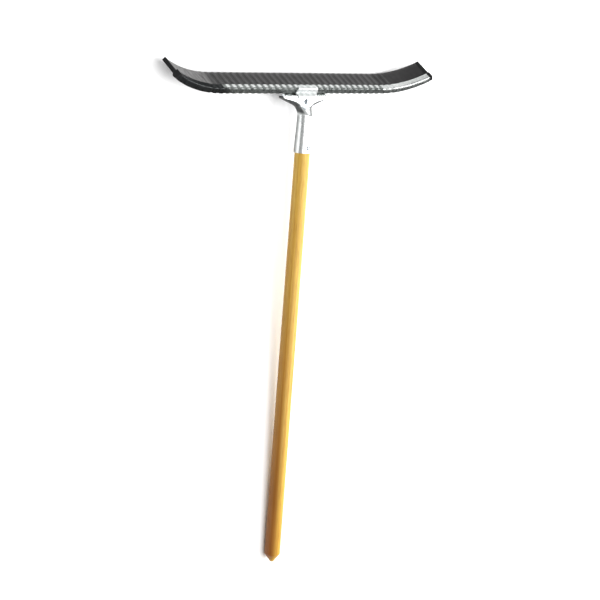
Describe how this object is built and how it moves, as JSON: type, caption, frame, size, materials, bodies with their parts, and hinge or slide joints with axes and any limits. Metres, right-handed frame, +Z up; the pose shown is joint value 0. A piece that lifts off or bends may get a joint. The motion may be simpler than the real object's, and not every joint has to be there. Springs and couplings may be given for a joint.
{
  "type": "curved rubber-blade snow and water pusher",
  "caption": "Long ribbed rubber blade with forward-curving ends in a steel channel, on a bracket with a wooden handle, for pulling or pushing snow and water.",
  "frame": {"origin": "middle of the tool's footprint, on the floor it lies on", "axes": "+X along the blade, +Y from the blade to the end of the handle, +Z up from the floor"},
  "size_m": [0.6092, 0.9448, 0.0644],
  "materials": {
    "blade_rubber": "matt ribbed rubber, dusty grey-black",
    "cap_black": "black moulded rubber",
    "channel_steel": "galvanised sheet, crimped",
    "bracket_steel": "bright zinc-plated pressed steel",
    "zinc_hardware": "zinc-plated fasteners",
    "varnished_wood": "amber varnished hardwood"
  },
  "bodies": {
    "root": {"rubber_blade": "blade_rubber", "blade_channel": "channel_steel", "end_cap_left": "cap_black", "end_cap_right": "cap_black", "socket_bracket": "bracket_steel", "clamp_strap": "bracket_steel", "handle": "varnished_wood", "socket_screw": "zinc_hardware", "centre_bolt": "zinc_hardware", "centre_washer_top": "zinc_hardware", "centre_washer_bottom": "zinc_hardware", "centre_nut": "zinc_hardware", "foot_screw_1": "zinc_hardware", "foot_screw_2": "zinc_hardware", "foot_screw_3": "zinc_hardware", "foot_screw_4": "zinc_hardware", "foot_washer_1": "zinc_hardware", "foot_washer_2": "zinc_hardware", "foot_washer_3": "zinc_hardware", "foot_washer_4": "zinc_hardware"}
  },
  "joints": []
}
